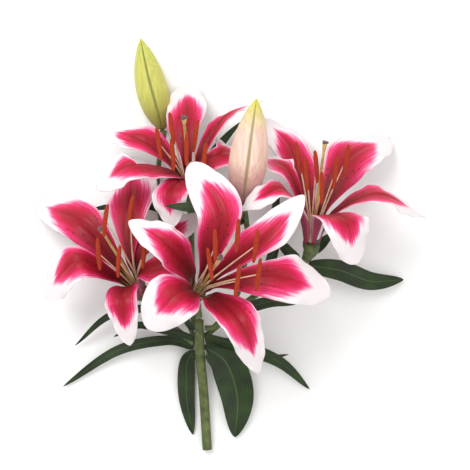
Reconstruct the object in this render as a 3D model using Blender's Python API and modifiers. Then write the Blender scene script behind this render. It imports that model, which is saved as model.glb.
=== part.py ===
"""Cut spray of an Oriental lily: one stem, four open flowers, two buds and its leaves, laid down.

The spray lies on its back on the XY plane, with the stem's cut end towards -Y and the blossom
towards +Y. Places and lengths are in millimetres and MM turns them into Blender's metres.
"""

from dataclasses import dataclass
from math import cos, pi, radians, sin

import bmesh
import bpy
import numpy as np

MM = 0.001

# The whole spray is moved by this much, so that the origin is at the middle of its underside.
REST_SHIFT = (7.5, 8.0, 0.0)

TEPAL_THICKNESS = 0.8
TEPAL_ROWS = 12
TEPAL_COLUMNS = 5
LEAF_THICKNESS = 0.9
LEAF_ROWS = 8
LEAF_COLUMNS = 3
SEAT_GAP = 0.35
STALK_GAP = 0.9

# Half the width that a petal or a leaf keeps at its very tip, and at its foot.
BLADE_END = 0.5
TEPAL_FOOT = 1.9
LEAF_FOOT = 1.3

# How high a leaf's edges stand over its midrib, as a share of half its width.
LEAF_FOLD = 0.22

SPINE_SAMPLES = 97
STALK_POINTS = 13

# Petals stay apart by twice this in the throat, up to this share of their length.
SECTOR_GAP = 0.75
SECTOR_END = 0.62

# The throat of every flower: distance along the axis and radius of the two whorls.
THROAT_HEIGHTS = (0.6, 15.0, 32.0)
THROAT_RADII = {"inner": (4.3, 7.2, 13.5), "outer": (6.1, 9.6, 16.5)}

STYLE_RADIUS = 1.1
OVARY_RADIUS = 1.9
STIGMA_RADIUS = 3.0
FILAMENT_RADIUS = 0.7
FILAMENT_RING_RADIUS = 3.0
FILAMENT_RING_HEIGHT = 1.4
FILAMENT_RING_THICKNESS = 0.6
ANTHER_LENGTH = 25.0
ANTHER_RADIUS = 1.8


@dataclass(frozen=True)
class Tepal:
    """One petal: where its midrib bends over, where it ends, how wide it is and how it is turned."""

    side: str
    whorl: str
    shoulder: tuple
    tip: tuple
    width: float
    turn: float = 0.0
    cup: float = 0.35


@dataclass(frozen=True)
class Flower:
    """One open flower on its receptacle."""

    name: str
    base: tuple
    stigma: tuple
    tepals: tuple
    anthers: tuple


@dataclass(frozen=True)
class Stalk:
    """A round stem: where it leaves the main stem, its route and its radius at both ends."""

    name: str
    share: float | None
    route: tuple
    radius: float
    end_radius: float


@dataclass(frozen=True)
class Leaf:
    """A lance-shaped leaf that grows from a stalk, at a share of the stalk's length."""

    name: str
    stalk: str
    share: float
    route: tuple
    width: float
    turn: float = 0.0


@dataclass(frozen=True)
class Bud:
    """A closed bud from its base to its tip."""

    name: str
    base: tuple
    belly: tuple
    tip: tuple
    radius: float


FLOWERS = (
    Flower(
        "front_flower", (-30, -46, 62), (-11, -17, 146),
        (
            Tepal("top", "inner", (-11, 16, 104), (-35, 57, 86), 36),
            Tepal("upper_right", "outer", (24, -2, 104), (54, 31, 98), 30),
            Tepal("right", "inner", (29, -30, 106), (75, -47, 88), 40, 0, 0.4),
            Tepal("lower_right", "outer", (5, -67, 124), (19, -107, 106), 30),
            Tepal("lower_left", "inner", (-45, -45, 128), (-67, -72, 124), 42, 0, 0.4),
            Tepal("upper_left", "outer", (-54, -5, 118), (-82, 11, 106), 30),
        ),
        ((-15, -8, 130), (-19, -22, 130), (2, 0, 128), (16, -8, 126), (18, -30, 124), (2, -35, 124)),
    ),
    Flower(
        "left_flower", (-78, -46, 24), (-105, 5, 96),
        (
            Tepal("upper_left", "outer", (-125, 11, 42), (-167, 27, 0.7), 34),
            Tepal("lower_left", "inner", (-126, -20, 66), (-154, -51, 46), 36),
            Tepal("top", "inner", (-84, 24, 38), (-86, 64, 8), 46, 0, 0.2),
            Tepal("bottom", "outer", (-90, -54, 76), (-84, -88, 66), 26),
            Tepal("right", "inner", (-54, -23, 70), (-33, -33, 60), 36),
            Tepal("upper_right", "outer", (-51, 2, 44), (-30, 18, 28), 30),
        ),
        ((-101, 12, 101), (-107, -14, 92), (-82, 19, 88), (-71, -13, 92), (-91, -20, 96), (-64, -1, 88)),
    ),
    Flower(
        "top_flower", (-37, 35, 26), (-40, 92, 92),
        (
            Tepal("top", "inner", (-39, 95, 34), (-40, 127, 0.7), 33),
            Tepal("upper_left", "outer", (-76, 77, 52), (-109, 85, 34), 30),
            Tepal("lower_left", "inner", (-82, 56, 72), (-111, 38, 58), 34),
            Tepal("upper_right", "outer", (-7, 96, 42), (23, 110, 22), 28, 40),
            Tepal("right", "inner", (-11, 67, 50), (8, 66, 28), 34),
            Tepal("bottom", "outer", (-52, 32, 74), (-50, 6, 68), 30),
        ),
        ((-60, 73, 86), (-50, 85, 80), (-31, 79, 84), (-49, 64, 90), (-24, 61, 86), (-38, 68, 90)),
    ),
    Flower(
        "right_flower", (62, -6, 38), (71, 73, 84),
        (
            Tepal("upper_right", "inner", (93, 63, 33), (128, 81, 0.8), 44, 0, 0.25),
            Tepal("right", "outer", (113, 32, 78), (152, 14, 64), 34),
            Tepal("bottom", "inner", (87, 11, 100), (94, -23, 94), 40),
            Tepal("upper_left", "outer", (45, 73, 22), (22, 97, 4), 34),
            Tepal("left", "inner", (41, 54, 55), (14, 64, 35), 36),
            Tepal("lower_left", "outer", (35, 37, 80), (4, 19, 88), 28),
        ),
        ((50, 62, 80), (88, 60, 78), (79, 50, 86), (64, 55, 84), (56, 49, 88), (68, 38, 92)),
    ),
)

MAIN_STEM = Stalk(
    "main_stem", None, ((-23, -178, 4), (-26, -130, 8), (-29, -96, 16), (-29, -70, 32)), 4.0, 3.4)
STALKS = (
    MAIN_STEM,
    Stalk("front_stalk", 1.0, ((-29, -66, 40), (-30, -56, 50), (-30, -46, 62)), 2.4, 7.0),
    Stalk("left_stalk", 0.80, ((-40, -84, 17), (-58, -70, 15), (-78, -46, 24)), 2.4, 7.0),
    Stalk("top_stalk", 0.90, ((-34, -70, 18), (-35, -45, 10), (-36, -4, 10), (-37, 35, 26)), 2.4, 7.0),
    Stalk("right_stalk", 0.86, ((-16, -76, 22), (12, -53, 20), (49, -30, 24), (62, -6, 38)), 2.4, 7.0),
    Stalk("large_bud_stalk", 0.94, ((-15, -73, 31), (2, -48, 41), (10, -4, 48), (6, 25, 58)), 2.2, 3.4),
    Stalk("small_bud_stalk", 0.83, ((-38, -74, 14), (-54, -29, 8), (-64, 37, 7), (-59, 86, 16)), 2.0, 3.0),
)

BUDS = (
    Bud("large_bud", (6, 25, 58), (10, 55, 71), (17, 108, 76), 15.8),
    Bud("small_bud", (-59, 86, 16), (-70, 126, 14), (-78, 162, 14), 13.5),
)

LEAVES = (
    Leaf("leaf_1", "main_stem", 0.93, ((-52, -60, 30), (-100, -65, 26), (-133, -92, 4)), 9),
    Leaf("leaf_2", "main_stem", 0.76, ((-57, -87, 10), (-98, -96, 8), (-143, -126, 2)), 12),
    Leaf("leaf_3", "main_stem", 0.85, ((-57, -78, 24), (-80, -74, 24), (-100, -84, 16)), 9),
    Leaf("leaf_4", "main_stem", 0.70, ((-40, -108, 3), (-40, -136, 2), (-35, -166, 2)), 20),
    Leaf("leaf_5", "main_stem", 0.74, ((-7, -106, 12), (2, -134, 6), (0, -168, 3)), 42),
    Leaf("leaf_6", "main_stem", 0.82, ((5, -92, 20), (37, -105, 13), (62, -128, 3)), 15),
    Leaf("leaf_7", "main_stem", 0.87, ((12, -93, 30), (30, -99, 30), (44, -98, 22)), 8),
    Leaf("leaf_8", "large_bud_stalk", 0.30, ((12, -58, 43), (30, -54, 42), (50, -56, 36)), 13),
    Leaf("leaf_9", "right_stalk", 0.78, ((86, -29, 26), (112, -38, 16), (140, -37, 3)), 24),
    Leaf("bract_1", "right_stalk", 0.78, ((44, -14, 30), (38, -8, 30), (30, -6, 28)), 12),
    Leaf("bract_2", "right_stalk", 0.86, ((68, -10, 24), (74, -4, 26), (80, 2, 28)), 12),
    Leaf("leaf_10", "top_stalk", 0.55, ((-60, 21, 12), (-88, 25, 10), (-121, 21, 8)), 12),
    Leaf("leaf_11", "large_bud_stalk", 0.90, ((-14, 22, 80), (-34, 22, 82), (-55, 23, 80)), 15),
    Leaf("leaf_12", "right_stalk", 0.90, ((60, 20, 14), (61, 42, 8), (64, 67, 6)), 14),
    Leaf("leaf_13", "right_stalk", 0.50, ((32, -10, 20), (33, 18, 14), (37, 45, 12)), 12),
    Leaf("leaf_14", "top_stalk", 0.90, ((-20, 64, 10), (-8, 80, 8), (5, 94, 6)), 11),
)


def smooth(value):
    """Ease from 0 to 1."""
    value = np.clip(value, 0.0, 1.0)
    return value * value * (3.0 - 2.0 * value)


def unit(vector):
    """Scale a vector to length 1."""
    vector = np.asarray(vector, dtype=float)
    return vector / np.linalg.norm(vector)


def even_curve(points, count):
    """Return points at even distances along a smooth curve through the given points."""
    anchors = np.array(points, dtype=float)
    anchors = np.vstack([2 * anchors[0] - anchors[1], anchors, 2 * anchors[-1] - anchors[-2]])
    step = np.linspace(0.0, 1.0, 24, endpoint=False)[:, None]
    pieces = []
    for before, start, end, after in zip(anchors, anchors[1:], anchors[2:], anchors[3:]):
        linear = (end - before) * step
        square = (2 * before - 5 * start + 4 * end - after) * step ** 2
        cubic = (3 * start - before - 3 * end + after) * step ** 3
        pieces.append(start + 0.5 * (linear + square + cubic))
    dense = np.vstack([*pieces, anchors[-2][None]])
    travelled = np.concatenate([[0.0], np.cumsum(np.linalg.norm(np.diff(dense, axis=0), axis=1))])
    wanted = np.linspace(0.0, travelled[-1], count)
    return np.stack([np.interp(wanted, travelled, dense[:, axis]) for axis in range(3)], axis=1)


def tangents(curve):
    """Return the unit direction of a curve at each of its points."""
    direction = np.gradient(curve, axis=0)
    return direction / np.linalg.norm(direction, axis=1)[:, None]


def carried_along(direction, first):
    """Carry a normal along a curve without twisting it round the curve."""
    normals = [first]
    for ahead in direction:
        normals.append(unit(normals[-1] - normals[-1].dot(ahead) * ahead))
    return np.array(normals[1:])


def make_material(name, colour, roughness):
    """Make a Principled material from a linear colour."""
    material = bpy.data.materials.new(name)
    material.use_nodes = True
    shader = material.node_tree.nodes["Principled BSDF"]
    shader.inputs["Base Color"].default_value = (*colour, 1.0)
    shader.inputs["Roughness"].default_value = roughness
    shader.inputs["Metallic"].default_value = 0.0
    material.diffuse_color = (*colour, 1.0)
    return material


def finish(obj, material, collection):
    """Give an object its material and move it to the spray's collection."""
    obj.data.materials.clear()
    obj.data.materials.append(material)
    for owner in list(obj.users_collection):
        owner.objects.unlink(obj)
    collection.objects.link(obj)
    obj.location = [shift * MM for shift in REST_SHIFT]


def add_blade(name, rows, columns, surface, thickness):
    """Shape a grid as a thin closed blade; surface gives a point for (along 0..1, across -1..1)."""
    bpy.ops.mesh.primitive_grid_add(x_subdivisions=columns - 1, y_subdivisions=rows - 1, size=2.0)
    blade = bpy.context.object
    blade.name = name
    flat = np.array([vertex.co for vertex in blade.data.vertices])
    places = surface((flat[:, 1] + 1.0) / 2.0, flat[:, 0])
    for vertex, place in zip(blade.data.vertices, places):
        vertex.co = place * MM
    shell = blade.modifiers.new("Thickness", "SOLIDIFY")
    shell.thickness = thickness * MM
    shell.offset = 0.0
    blade.data.shade_smooth()
    return blade


def add_tube(name, route, radii, sides=2):
    """Make a round tube along a route as a curve with filled caps."""
    curve = bpy.data.curves.new(name, "CURVE")
    curve.dimensions = "3D"
    curve.bevel_depth = MM
    curve.bevel_resolution = sides
    curve.resolution_u = 1
    curve.render_resolution_u = 0
    curve.use_fill_caps = True
    spline = curve.splines.new("POLY")
    spline.points.add(len(route) - 1)
    for point, place, radius in zip(spline.points, route, radii):
        point.co = (*(place * MM), 1.0)
        point.radius = radius
    tube = bpy.data.objects.new(name, curve)
    bpy.context.scene.collection.objects.link(tube)
    return tube


def tube_to_mesh(tube):
    """Replace a curve object by a closed mesh object."""
    graph = bpy.context.evaluated_depsgraph_get()
    mesh = bpy.data.meshes.new_from_object(tube.evaluated_get(graph))
    shape = bmesh.new()
    shape.from_mesh(mesh)
    bmesh.ops.remove_doubles(shape, verts=shape.verts, dist=1e-6)
    shape.to_mesh(mesh)
    shape.free()
    solid = bpy.data.objects.new(tube.name, mesh)
    bpy.context.scene.collection.objects.link(solid)
    bpy.data.objects.remove(tube)
    return solid


def join_solids(base, others):
    """Unite solids with the base one by one and apply the unions."""
    for other in others:
        union = base.modifiers.new("Union", "BOOLEAN")
        union.operation = "UNION"
        union.object = other
        bpy.context.view_layer.objects.active = base
        bpy.ops.object.modifier_apply(modifier=union.name)
        bpy.data.objects.remove(other)
    return base


def flower_axes(flower):
    """Return the flower's base, its axis and two directions across it."""
    base = np.array(flower.base, dtype=float)
    axis = unit(np.array(flower.stigma) - base)
    across = unit(np.cross(axis, (0.0, 0.0, 1.0)))
    return base, axis, across, np.cross(axis, across)


def tepal_profile(along, whorl):
    """Return the share of the full width at a share of the length."""
    rise, fall = (1.0, 0.62) if whorl == "inner" else (0.85, 0.72)
    widest = rise / (rise + fall)
    peak = widest ** rise * (1.0 - widest) ** fall
    return along ** rise * (1.0 - along) ** fall / peak


def azimuths(flower, points):
    """Return the angles of points round the flower's axis."""
    base, _, first, second = flower_axes(flower)
    offsets = np.asarray(points, dtype=float) - base
    return np.arctan2(offsets @ second, offsets @ first)


def sector(flower, tepal):
    """Return the petal's angle round the axis and the room to its neighbour on each side."""
    angles = azimuths(flower, [item.shoulder for item in flower.tepals])
    own = azimuths(flower, [tepal.shoulder])[0]
    apart = np.sort((angles - own) % (2.0 * pi))
    return own, (2.0 * pi - apart[-1]) / 2.0, apart[1] / 2.0


def tepal_surface(flower, tepal):
    """Return the function that places points of a petal inside its own sector of the throat."""
    base, axis, _, _ = flower_axes(flower)
    outward = np.array(tepal.shoulder) - base
    outward = unit(outward - outward.dot(axis) * axis)
    throat = zip(THROAT_HEIGHTS, THROAT_RADII[tepal.whorl])
    midrib = [base + height * axis + radius * outward for height, radius in throat]
    spine = even_curve([*midrib, tepal.shoulder, tepal.tip], SPINE_SAMPLES)
    direction = tangents(spine)
    facing = carried_along(direction, -outward)
    flank = np.cross(direction, facing)
    share = np.linspace(0.0, 1.0, SPINE_SAMPLES)

    def along_spine(values, along):
        return np.stack([np.interp(along, share, values[:, k]) for k in range(3)], axis=-1)

    def free_place(along, across):
        point = along_spine(spine, along)
        half_width = tepal.width / 2.0 * tepal_profile(along, tepal.whorl)
        half_width += BLADE_END * along ** 8 + TEPAL_FOOT * (1.0 - along) ** 2
        turn = radians(tepal.turn) * smooth((along - 0.15) / 0.45)[..., None]
        flat = along_spine(flank, along)
        front = along_spine(facing, along)
        side = np.cos(turn) * flat + np.sin(turn) * front
        normal = np.cos(turn) * front - np.sin(turn) * flat
        cup = tepal.cup * (1.0 - 1.3 * smooth(along / 0.9))
        offset = half_width * across
        lift = cup * half_width * across ** 2
        blade = point + offset[..., None] * side + lift[..., None] * normal
        height = ((point - base) @ axis)[..., None] * axis
        radial = point - base - height
        radius = np.linalg.norm(radial, axis=-1)[..., None]
        angle = -offset[..., None] / radius
        around = np.cross(axis, radial / radius)
        cone = base + height + np.cos(angle) * radial + radius * np.sin(angle) * around
        blend = smooth((along - 0.12) / 0.4)[..., None]
        return (1.0 - blend) * cone + blend * blade

    own, room_before, room_after = sector(flower, tepal)
    limits = []
    for edge in (-1.0, 1.0):
        best = np.full(SPINE_SAMPLES, 0.05)
        for scale in np.linspace(0.05, 1.0, 39):
            points = free_place(share, np.full(SPINE_SAMPLES, edge * scale))
            swing = (azimuths(flower, points) - own + pi) % (2.0 * pi) - pi
            offsets = points - base
            radius = np.linalg.norm(offsets - (offsets @ axis)[:, None] * axis, axis=1)
            keep = SECTOR_GAP / radius
            inside = (swing < room_after - keep) & (swing > keep - room_before)
            best = np.where(inside | (share > SECTOR_END), np.maximum(best, scale), best)
        lowest = [best[max(0, k - 4):k + 5].min() for k in range(SPINE_SAMPLES)]
        padded = np.pad(lowest, 4, mode="edge")
        limits.append(np.convolve(padded, np.full(9, 1.0 / 9.0), mode="valid"))

    def place(along, across):
        before = np.interp(along, share, limits[0])
        after = np.interp(along, share, limits[1])
        return free_place(along, across * np.where(across < 0.0, before, after))

    return place


def add_tepal(flower, tepal):
    """Make one petal."""
    surface = tepal_surface(flower, tepal)
    name = f"{flower.name}_{tepal.side}_petal"
    return add_blade(name, TEPAL_ROWS, TEPAL_COLUMNS, surface, TEPAL_THICKNESS)


def add_pistil(flower):
    """Make the ovary, style and stigma as one turned tube."""
    base, axis, _, _ = flower_axes(flower)
    length = np.linalg.norm(np.array(flower.stigma) - base)
    heights = (SEAT_GAP, 4.0, 18.0, 26.0, length - 5.0, length - 2.5, length, length + 1.2)
    radii = (1.3, OVARY_RADIUS, OVARY_RADIUS, STYLE_RADIUS, STYLE_RADIUS, 2.2, STIGMA_RADIUS, 1.6)
    route = [base + height * axis for height in heights]
    return add_tube(f"{flower.name}_pistil", route, radii, 1)


def anther_direction(flower, place):
    """Return the direction along an anther: up the spray, and leaning out a little."""
    base, axis, _, _ = flower_axes(flower)
    outward = np.array(place) - base
    outward = unit(outward - outward.dot(axis) * axis)
    return unit(np.array((0.0, 1.0, 0.0)) + 0.15 * outward)


def add_stamens(flower):
    """Make the six stamens, joined by a ring round the foot of the pistil."""
    base, axis, first, second = flower_axes(flower)
    bpy.ops.mesh.primitive_torus_add(
        major_segments=18, minor_segments=6,
        major_radius=FILAMENT_RING_RADIUS * MM, minor_radius=FILAMENT_RING_THICKNESS * MM)
    ring = bpy.context.object
    ring.name = f"{flower.name}_stamens"
    turned = np.array([vertex.co for vertex in ring.data.vertices])
    for vertex, (across, up, high) in zip(ring.data.vertices, turned):
        vertex.co = (base + FILAMENT_RING_HEIGHT * axis) * MM + across * first + up * second + high * axis
    parts = []
    for place in flower.anthers:
        place = np.array(place, dtype=float)
        outward = place - base
        reach = outward - outward.dot(axis) * axis
        away = unit(reach)
        height = outward.dot(axis)
        route = [
            base + FILAMENT_RING_HEIGHT * axis + FILAMENT_RING_RADIUS * away,
            base + 0.25 * height * axis + 4.4 * away,
            base + 0.62 * height * axis + (3.0 + 0.42 * np.linalg.norm(reach)) * away,
            place,
        ]
        filament = add_tube("Filament", even_curve(route, 7), [FILAMENT_RADIUS] * 7, 0)
        parts.append(tube_to_mesh(filament))
        bpy.ops.mesh.primitive_uv_sphere_add(segments=6, ring_count=6, radius=1.0)
        anther = bpy.context.object
        lengthwise = anther_direction(flower, place)
        side = unit(np.cross(lengthwise, axis))
        third = np.cross(lengthwise, side)
        for vertex in anther.data.vertices:
            x, y, z = vertex.co
            spread = ANTHER_RADIUS * (x * side + y * third)
            vertex.co = (place + spread + ANTHER_LENGTH / 2.0 * z * lengthwise) * MM
        parts.append(anther)
    return join_solids(ring, parts)


def stalk_route(stalk, count):
    """Return points along a stalk; it starts beside the main stem, and a flower's ends on its axis."""
    route = [np.array(point, dtype=float) for point in stalk.route]
    if stalk.share is not None and stalk.share < 1.0:
        route = [*seat(MAIN_STEM, stalk.share, route[0], 2.0), *route]
    for flower in FLOWERS:
        if flower.base == stalk.route[-1]:
            axis = flower_axes(flower)[1]
            base = route.pop()
            route += [base - 9.0 * axis, base - 3.0 * axis]
            return np.vstack([even_curve(route, count - 1), base])
    return even_curve(route, count)


def stalk_radii(stalk, count):
    """Return the radius at each of a stalk's points."""
    share = np.linspace(0.0, 1.0, count)
    return stalk.radius + (stalk.end_radius - stalk.radius) * smooth((share - 0.8) / 0.2)


def seat(stalk, share, towards, neck):
    """Return where something starts beside a stalk, and the end of its straight neck."""
    route = stalk_route(stalk, STALK_POINTS)
    place = share * (STALK_POINTS - 1)
    index = min(int(place), STALK_POINTS - 2)
    centre = route[index] + (place - index) * (route[index + 1] - route[index])
    radius = np.interp(place, np.arange(STALK_POINTS), stalk_radii(stalk, STALK_POINTS))
    grain = unit(route[index + 1] - route[index])
    outward = np.array(towards) - centre
    outward = unit(outward - outward.dot(grain) * grain)
    start = centre + (radius + STALK_GAP) * outward
    return start, start + neck * outward


def add_stalk(stalk):
    """Make a stem or a stalk, which widens to the receptacle or the bud at its end."""
    route = stalk_route(stalk, STALK_POINTS)
    return add_tube(stalk.name, route, stalk_radii(stalk, STALK_POINTS), 2)


def add_bud(bud):
    """Make a closed bud: a ball drawn out to a spindle with three soft ridges."""
    spine = even_curve([bud.base, bud.belly, bud.tip], 49)
    direction = tangents(spine)
    bpy.ops.mesh.primitive_uv_sphere_add(segments=12, ring_count=12, radius=1.0)
    obj = bpy.context.object
    obj.name = bud.name
    for vertex in obj.data.vertices:
        x, y, z = vertex.co
        along = 1.0 - np.arccos(np.clip(z, -1.0, 1.0)) / pi
        index = int(round(along * 48))
        side = unit(np.cross(direction[index], (0.0, 0.0, 1.0)))
        up = np.cross(direction[index], side)
        ring = np.hypot(x, y)
        angle = np.arctan2(y, x)
        swell = bud.radius * along ** 0.62 * (1.0 - along) ** 0.55 * 2.18
        radius = swell * (1.0 + 0.035 * cos(3.0 * angle)) if ring > 1e-6 else 0.0
        start = spine[index] + SEAT_GAP * direction[0]
        vertex.co = (start + radius * (cos(angle) * side + sin(angle) * up)) * MM
    obj.data.shade_smooth()
    return obj


def leaf_surface(leaf):
    """Return the function that places points of a leaf, which starts beside its stalk."""
    stalk = next(item for item in STALKS if item.name == leaf.stalk)
    start = seat(stalk, leaf.share, leaf.route[0], 3.0)
    spine = even_curve([*start, *leaf.route], SPINE_SAMPLES)
    direction = tangents(spine)
    upward = np.array((0.0, 0.0, 1.0)) - direction[:, 2][:, None] * direction
    upward /= np.linalg.norm(upward, axis=1)[:, None]
    flank = np.cross(direction, upward)
    turn = radians(leaf.turn)
    side = cos(turn) * flank + sin(turn) * upward
    normal = cos(turn) * upward - sin(turn) * flank
    share = np.linspace(0.0, 1.0, SPINE_SAMPLES)

    def along_spine(values, along):
        return np.stack([np.interp(along, share, values[:, k]) for k in range(3)], axis=-1)

    def place(along, across):
        half_width = leaf.width / 2.0 * 1.62 * along ** 0.55 * (1.0 - along) ** 0.7
        half_width += BLADE_END * along ** 8 + LEAF_FOOT * (1.0 - along) ** 3
        sideways = (half_width * across)[..., None] * along_spine(side, along)
        lift = (LEAF_FOLD * half_width * np.abs(across))[..., None] * along_spine(normal, along)
        return along_spine(spine, along) + sideways + lift

    return place


def add_leaf(leaf):
    """Make one leaf."""
    return add_blade(leaf.name, LEAF_ROWS, LEAF_COLUMNS, leaf_surface(leaf), LEAF_THICKNESS)


def main():
    """Build the whole spray."""
    for obj in list(bpy.data.objects):
        bpy.data.objects.remove(obj)
    collection = bpy.data.collections.new("Cut lily")
    bpy.context.scene.collection.children.link(collection)
    petal = make_material("Crimson petal", (0.60, 0.02, 0.09), 0.55)
    pollen = make_material("Rust anther", (0.42, 0.06, 0.01), 0.9)
    style = make_material("Pale style", (0.60, 0.45, 0.12), 0.6)
    stem_green = make_material("Green stem", (0.12, 0.18, 0.05), 0.6)
    leaf_green = make_material("Dark leaf", (0.03, 0.07, 0.015), 0.5)
    bud_cream = make_material("Cream bud", (0.80, 0.70, 0.40), 0.6)
    for flower in FLOWERS:
        for tepal in flower.tepals:
            finish(add_tepal(flower, tepal), petal, collection)
        finish(add_pistil(flower), style, collection)
        finish(add_stamens(flower), pollen, collection)
    for stalk in STALKS:
        finish(add_stalk(stalk), stem_green, collection)
    for bud in BUDS:
        finish(add_bud(bud), bud_cream, collection)
    for leaf in LEAVES:
        finish(add_leaf(leaf), leaf_green, collection)


main()
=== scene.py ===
"""Looks of a cut Oriental lily spray, laid down: petals, stamens, pistils, buds, leaves and stalks.

The classes share the CAD frame's driving dimensions, in millimetres, and MM turns them into metres.
"""

import logging
from dataclasses import dataclass
from enum import Enum
from math import cos, pi, radians, sin
from typing import Callable

import bpy
import numpy as np
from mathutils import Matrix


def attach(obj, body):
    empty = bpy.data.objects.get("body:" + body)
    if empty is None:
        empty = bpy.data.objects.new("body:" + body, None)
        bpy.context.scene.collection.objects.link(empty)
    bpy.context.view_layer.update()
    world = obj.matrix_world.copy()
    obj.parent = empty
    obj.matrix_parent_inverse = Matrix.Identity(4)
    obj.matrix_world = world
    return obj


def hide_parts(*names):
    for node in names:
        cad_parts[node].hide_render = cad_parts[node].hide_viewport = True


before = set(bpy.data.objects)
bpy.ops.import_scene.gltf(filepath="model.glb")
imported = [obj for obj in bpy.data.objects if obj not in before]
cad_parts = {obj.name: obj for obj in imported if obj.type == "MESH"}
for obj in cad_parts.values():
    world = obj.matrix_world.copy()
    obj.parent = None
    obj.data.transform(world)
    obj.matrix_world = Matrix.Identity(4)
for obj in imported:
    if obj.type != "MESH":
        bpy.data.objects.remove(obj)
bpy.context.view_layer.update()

LOG = logging.getLogger("lily")
Array = np.ndarray
Surface = Callable[[Array, Array], Array]

MM = 0.001
REST_SHIFT = (7.5, 8.0, 0.0)

SEAT_GAP = 0.35
STALK_GAP = 0.9
SPINE_SAMPLES = 97
STALK_POINTS = 13
SECTOR_GAP = 0.45
SECTOR_END = 0.62


class Whorl(Enum):
    """The ring of petals that a petal belongs to, with the growth of its outline."""

    INNER = ((4.3, 7.2, 13.5), 1.0, 0.58)
    OUTER = ((6.1, 9.6, 16.5), 0.85, 0.66)

    @property
    def throat_radii(self) -> tuple[float, float, float]:
        """Radii of the throat at THROAT_HEIGHTS, in millimetres."""
        return self.value[0]

    @property
    def rise(self) -> float:
        """How the width grows from the foot."""
        return self.value[1]

    @property
    def fall(self) -> float:
        """How the width closes at the tip."""
        return self.value[2]


THROAT_HEIGHTS = (0.6, 15.0, 32.0)


@dataclass(frozen=True)
class PetalPlan:
    """One petal: where its midrib bends over, where it ends, how wide it is and how it is turned."""

    side: str
    whorl: Whorl
    shoulder: tuple[float, float, float]
    tip: tuple[float, float, float]
    width: float
    turn: float = 0.0
    cup: float = 0.35


@dataclass(frozen=True)
class FlowerPlan:
    """One open flower on its receptacle."""

    name: str
    base: tuple[float, float, float]
    stigma: tuple[float, float, float]
    petals: tuple[PetalPlan, ...]
    anthers: tuple[tuple[float, float, float], ...]


@dataclass(frozen=True)
class StalkPlan:
    """A round stem: where it leaves the main stem, its route and its radius at both ends."""

    name: str
    share: float | None
    route: tuple[tuple[float, float, float], ...]
    radius: float
    end_radius: float


@dataclass(frozen=True)
class LeafPlan:
    """A lance-shaped leaf that grows from a stalk, at a share of the stalk's length."""

    name: str
    stalk: str
    share: float
    route: tuple[tuple[float, float, float], ...]
    width: float
    turn: float = 0.0


@dataclass(frozen=True)
class BudPlan:
    """A closed bud from its base to its tip."""

    name: str
    base: tuple[float, float, float]
    belly: tuple[float, float, float]
    tip: tuple[float, float, float]
    radius: float


FLOWERS: tuple[FlowerPlan, ...] = (
    FlowerPlan(
        "front_flower", (-30, -46, 62), (-11, -17, 146),
        (
            PetalPlan("top", Whorl.INNER, (-11, 16, 104), (-35, 57, 86), 36),
            PetalPlan("upper_right", Whorl.OUTER, (24, -2, 104), (54, 31, 98), 30),
            PetalPlan("right", Whorl.INNER, (29, -30, 106), (75, -47, 88), 40, 0, 0.4),
            PetalPlan("lower_right", Whorl.OUTER, (5, -67, 124), (19, -107, 106), 30),
            PetalPlan("lower_left", Whorl.INNER, (-45, -45, 128), (-67, -72, 124), 42, 0, 0.4),
            PetalPlan("upper_left", Whorl.OUTER, (-54, -5, 118), (-82, 11, 106), 30),
        ),
        ((-15, -8, 130), (-19, -22, 130), (2, 0, 128), (16, -8, 126), (18, -30, 124), (2, -35, 124)),
    ),
    FlowerPlan(
        "left_flower", (-78, -46, 24), (-105, 5, 96),
        (
            PetalPlan("upper_left", Whorl.OUTER, (-125, 11, 42), (-167, 27, 0.7), 34),
            PetalPlan("lower_left", Whorl.INNER, (-126, -20, 66), (-154, -51, 46), 36),
            PetalPlan("top", Whorl.INNER, (-84, 24, 38), (-86, 64, 8), 46, 0, 0.2),
            PetalPlan("bottom", Whorl.OUTER, (-90, -54, 76), (-84, -88, 66), 26),
            PetalPlan("right", Whorl.INNER, (-54, -23, 70), (-33, -33, 60), 36),
            PetalPlan("upper_right", Whorl.OUTER, (-51, 2, 44), (-30, 18, 28), 30),
        ),
        ((-101, 12, 101), (-107, -14, 92), (-82, 19, 88), (-71, -13, 92), (-91, -20, 96), (-64, -1, 88)),
    ),
    FlowerPlan(
        "top_flower", (-37, 35, 26), (-40, 92, 92),
        (
            PetalPlan("top", Whorl.INNER, (-39, 95, 34), (-40, 127, 0.7), 33),
            PetalPlan("upper_left", Whorl.OUTER, (-76, 77, 52), (-109, 85, 34), 30),
            PetalPlan("lower_left", Whorl.INNER, (-82, 56, 72), (-111, 38, 58), 34),
            PetalPlan("upper_right", Whorl.OUTER, (-7, 96, 42), (23, 110, 22), 28, 40),
            PetalPlan("right", Whorl.INNER, (-11, 67, 50), (8, 66, 28), 34),
            PetalPlan("bottom", Whorl.OUTER, (-52, 32, 74), (-50, 6, 68), 30),
        ),
        ((-60, 73, 86), (-50, 85, 80), (-31, 79, 84), (-49, 64, 90), (-24, 61, 86), (-38, 68, 90)),
    ),
    FlowerPlan(
        "right_flower", (62, -6, 38), (71, 73, 84),
        (
            PetalPlan("upper_right", Whorl.INNER, (93, 63, 33), (128, 81, 0.8), 44, 0, 0.25),
            PetalPlan("right", Whorl.OUTER, (113, 32, 78), (152, 14, 64), 34),
            PetalPlan("bottom", Whorl.INNER, (87, 11, 100), (94, -23, 94), 40),
            PetalPlan("upper_left", Whorl.OUTER, (45, 73, 22), (22, 97, 4), 34),
            PetalPlan("left", Whorl.INNER, (41, 54, 55), (14, 64, 35), 36),
            PetalPlan("lower_left", Whorl.OUTER, (35, 37, 80), (4, 19, 88), 28),
        ),
        ((50, 62, 80), (88, 60, 78), (79, 50, 86), (64, 55, 84), (56, 49, 88), (68, 38, 92)),
    ),
)

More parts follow.
